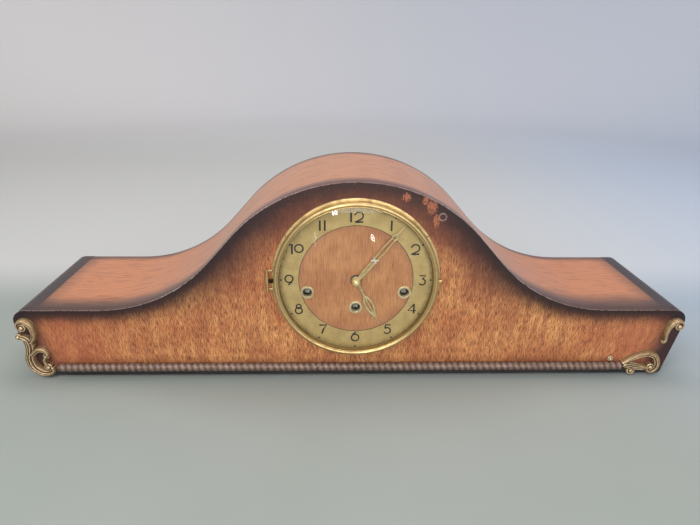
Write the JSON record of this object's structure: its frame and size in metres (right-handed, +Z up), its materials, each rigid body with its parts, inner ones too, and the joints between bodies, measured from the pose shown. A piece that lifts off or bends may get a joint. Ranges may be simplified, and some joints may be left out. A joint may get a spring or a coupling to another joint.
{
  "type": "mantel clock",
  "caption": "Hump-backed wooden mantel clock with hinged glazed bezel, round dial, gilt corner mounts, and a chiming spring movement with pendulum, hammers and gong rods.",
  "frame": {"origin": "on the floor, at the centre of the clock's footprint with its bezel and door fittings", "axes": "+Z up, +X along the case to the viewer's right, and the dial faces -Y"},
  "size_m": [0.6801, 0.1658, 0.207],
  "materials": {
    "front_veneer": "figured walnut veneer under aged gloss varnish, shaded dark along the top edge",
    "top_veneer": "straight-grained walnut veneer, worn satin varnish",
    "dark_wood": "dark stained wood, satin",
    "ebonised_wood": "black stained wood, worn satin",
    "back_wood": "stained plywood, dull",
    "felt": "pressed felt",
    "gilt_metal": "cast metal with worn antique gilding",
    "rope_metal": "pressed metal bead, dull pinkish gold",
    "bezel_brass": "polished lacquered brass",
    "flange_brass": "tarnished brass",
    "glass": "clear domed glass",
    "chapter_metal": "satin gilt dial metal with printed black numerals",
    "dial_veneer": "straight-grained reddish veneer, satin",
    "grommet_metal": "pale nickelled brass",
    "hand_brass": "aged brass",
    "plate_brass": "lacquered sheet brass",
    "wheel_brass": "machined brass",
    "steel": "bright turned steel",
    "spring_steel": "blued spring steel",
    "iron": "black painted cast iron",
    "rod_bronze": "drawn bronze",
    "packing_wood": "plain beech"
  },
  "bodies": {
    "case": {"front_panel": "front_veneer", "top_skin": "top_veneer", "end_blocks": "dark_wood", "base_board": "ebonised_wood", "back_frame": "back_wood", "foot_pads": "felt", "door_hinge_leaves": "plate_brass", "left_corner_mount": "gilt_metal", "right_corner_mount": "gilt_metal", "rope_moulding": "rope_metal", "bezel_flange": "flange_brass", "bezel_hinge_pin": "flange_brass", "dial_pan": "flange_brass", "chapter_ring": "chapter_metal", "dial_centre": "dial_veneer", "winding_grommets": "grommet_metal", "front_plate": "plate_brass", "back_plate": "plate_brass", "plate_pillars": "plate_brass", "movement_feet": "packing_wood", "case_screws": "steel", "click_springs": "spring_steel", "hammer_arbor": "steel", "rod_block": "iron", "gong_rods": "rod_bronze", "suspension_cock": "plate_brass"},
    "rear_door": {"back_door": "back_wood", "door_hinge_knuckles": "plate_brass"},
    "catch": {"door_catch": "plate_brass"},
    "bezel": {"bezel_ring": "bezel_brass", "bezel_glass": "glass"},
    "minute": {"minute_hand": "hand_brass", "hand_nut": "bezel_brass", "centre_wheel": "wheel_brass"},
    "hour": {"hour_hand": "hand_brass", "hour_wheel": "wheel_brass"},
    "minute_motion": {"minute_wheel": "wheel_brass"},
    "third": {"third_wheel": "wheel_brass"},
    "escape": {"escape_wheel": "wheel_brass"},
    "pallets": {"anchor": "steel"},
    "pendulum": {"pendulum_rod": "steel", "pendulum_bob": "wheel_brass"},
    "time_drum": {"time_barrel": "wheel_brass"},
    "strike_drum": {"strike_barrel": "wheel_brass"},
    "chime_barrel_drum": {"chime_barrel": "wheel_brass"},
    "time_winder": {"time_winding_arbor": "steel"},
    "strike_winder": {"strike_winding_arbor": "steel"},
    "chime_winder": {"chime_winding_arbor": "steel"},
    "time_pawl": {"time_click": "steel"},
    "strike_pawl": {"strike_click": "steel"},
    "chime_pawl": {"chime_click": "steel"},
    "strike_train": {"strike_wheel": "wheel_brass"},
    "strike_fan": {"strike_fly": "wheel_brass"},
    "chime_train": {"chime_wheel": "wheel_brass", "chime_drum": "wheel_brass"},
    "chime_fan": {"chime_fly": "wheel_brass"},
    "hammer_a": {"hammer_1": "wheel_brass"},
    "hammer_b": {"hammer_2": "wheel_brass"},
    "hammer_c": {"hammer_3": "wheel_brass"},
    "hammer_d": {"hammer_4": "wheel_brass"}
  },
  "joints": [
    {"name": "bezel_hinge", "type": "hinge", "parent": "case", "child": "bezel", "pos_m": [-0.0862, -0.072, 0.11], "axis": [0, 0, -1], "range_deg": [0, 120]},
    {"name": "door_hinge", "type": "hinge", "parent": "case", "child": "rear_door", "pos_m": [0.0905, 0.0785, 0.092], "axis": [0, 0, -1], "range_deg": [0, 110]},
    {"name": "catch_turn", "type": "hinge", "parent": "case", "child": "catch", "pos_m": [-0.1, 0.08, 0.092], "axis": [0, 1, 0], "range_deg": [-95, 95]},
    {"name": "minute_spin", "type": "hinge", "parent": "case", "child": "minute", "pos_m": [0, -0.053, 0.11], "axis": [0, 1, 0], "continuous": true},
    {"name": "hour_spin", "type": "hinge", "parent": "case", "child": "hour", "pos_m": [0, -0.061, 0.11], "axis": [0, 1, 0], "continuous": true},
    {"name": "minute_wheel_spin", "type": "hinge", "parent": "case", "child": "minute_motion", "pos_m": [-0.01081, -0.057, 0.11624], "axis": [0, 1, 0], "continuous": true},
    {"name": "third_wheel_spin", "type": "hinge", "parent": "case", "child": "third", "pos_m": [0.00606, -0.03, 0.12695], "axis": [0, 1, 0], "continuous": true},
    {"name": "escape_wheel_spin", "type": "hinge", "parent": "case", "child": "escape", "pos_m": [0, -0.015, 0.141], "axis": [0, 1, 0], "continuous": true},
    {"name": "time_barrel_spin", "type": "hinge", "parent": "case", "child": "time_drum", "pos_m": [0, -0.04, 0.0806], "axis": [0, 1, 0], "continuous": true},
    {"name": "pendulum_swing", "type": "hinge", "parent": "case", "child": "pendulum", "pos_m": [0, 0.011, 0.1575], "axis": [0, 1, 0], "range_deg": [-4, 4]},
    {"name": "anchor_rock", "type": "hinge", "parent": "case", "child": "pallets", "pos_m": [0, -0.015, 0.1575], "axis": [0, 1, 0], "range_deg": [-4, 4]},
    {"name": "strike_wheel_spin", "type": "hinge", "parent": "case", "child": "strike_train", "pos_m": [-0.05807, -0.02, 0.11892], "axis": [0, 1, 0], "continuous": true},
    {"name": "strike_barrel_spin", "type": "hinge", "parent": "case", "child": "strike_drum", "pos_m": [-0.0478, -0.04, 0.0969], "axis": [0, 1, 0], "continuous": true},
    {"name": "strike_fly_spin", "type": "hinge", "parent": "case", "child": "strike_fan", "pos_m": [-0.04907, -0.02, 0.13451], "axis": [0, 1, 0], "continuous": true},
    {"name": "chime_wheel_spin", "type": "hinge", "parent": "case", "child": "chime_train", "pos_m": [0.05807, -0.02, 0.11892], "axis": [0, 1, 0], "continuous": true},
    {"name": "chime_barrel_spin", "type": "hinge", "parent": "case", "child": "chime_barrel_drum", "pos_m": [0.0478, -0.04, 0.0969], "axis": [0, 1, 0], "continuous": true},
    {"name": "chime_fly_spin", "type": "hinge", "parent": "case", "child": "chime_fan", "pos_m": [0.04907, -0.02, 0.13451], "axis": [0, 1, 0], "continuous": true},
    {"name": "time_winding", "type": "hinge", "parent": "case", "child": "time_winder", "pos_m": [0, -0.053, 0.0806], "axis": [0, 1, 0], "continuous": true},
    {"name": "strike_winding", "type": "hinge", "parent": "case", "child": "strike_winder", "pos_m": [-0.0478, -0.053, 0.0969], "axis": [0, 1, 0], "continuous": true},
    {"name": "chime_winding", "type": "hinge", "parent": "case", "child": "chime_winder", "pos_m": [0.0478, -0.053, 0.0969], "axis": [0, 1, 0], "continuous": true},
    {"name": "time_click_lift", "type": "hinge", "parent": "case", "child": "time_pawl", "pos_m": [0.01147, -0.055, 0.07257], "axis": [0, 1, 0], "range_deg": [0, 12], "stiffness_Nm_per_rad": 0.0006, "springref_deg": -8.59},
    {"name": "strike_click_lift", "type": "hinge", "parent": "case", "child": "strike_pawl", "pos_m": [-0.05927, -0.055, 0.08887], "axis": [0, 1, 0], "range_deg": [0, 12], "stiffness_Nm_per_rad": 0.0006, "springref_deg": -8.59},
    {"name": "chime_click_lift", "type": "hinge", "parent": "case", "child": "chime_pawl", "pos_m": [0.05927, -0.055, 0.08887], "axis": [0, 1, 0], "range_deg": [0, 12], "stiffness_Nm_per_rad": 0.0006, "springref_deg": -8.59},
    {"name": "hammer_a_lift", "type": "hinge", "parent": "case", "child": "hammer_a", "pos_m": [0.062, 0.025, 0.068], "axis": [0, -1, 0], "range_deg": [0, 20], "stiffness_Nm_per_rad": 0.004, "springref_deg": -11.46},
    {"name": "hammer_b_lift", "type": "hinge", "parent": "case", "child": "hammer_b", "pos_m": [0.062, 0.034, 0.068], "axis": [0, -1, 0], "range_deg": [0, 20], "stiffness_Nm_per_rad": 0.004, "springref_deg": -11.46},
    {"name": "hammer_c_lift", "type": "hinge", "parent": "case", "child": "hammer_c", "pos_m": [0.062, 0.043, 0.068], "axis": [0, -1, 0], "range_deg": [0, 20], "stiffness_Nm_per_rad": 0.004, "springref_deg": -11.46},
    {"name": "hammer_d_lift", "type": "hinge", "parent": "case", "child": "hammer_d", "pos_m": [0.062, 0.052, 0.068], "axis": [0, -1, 0], "range_deg": [0, 20], "stiffness_Nm_per_rad": 0.004, "springref_deg": -11.46}
  ],
  "couplings": [
    {"joint": "hour_spin", "follows": "minute_spin", "ratio": 0.083333},
    {"joint": "minute_wheel_spin", "follows": "minute_spin", "ratio": -0.33333},
    {"joint": "third_wheel_spin", "follows": "minute_spin", "ratio": -10},
    {"joint": "escape_wheel_spin", "follows": "minute_spin", "ratio": 120},
    {"joint": "time_barrel_spin", "follows": "minute_spin", "ratio": -0.125},
    {"joint": "anchor_rock", "follows": "pendulum_swing", "ratio": 1},
    {"joint": "strike_barrel_spin", "follows": "strike_wheel_spin", "ratio": -0.125},
    {"joint": "strike_fly_spin", "follows": "strike_wheel_spin", "ratio": -8},
    {"joint": "chime_barrel_spin", "follows": "chime_wheel_spin", "ratio": -0.125},
    {"joint": "chime_fly_spin", "follows": "chime_wheel_spin", "ratio": -8}
  ]
}
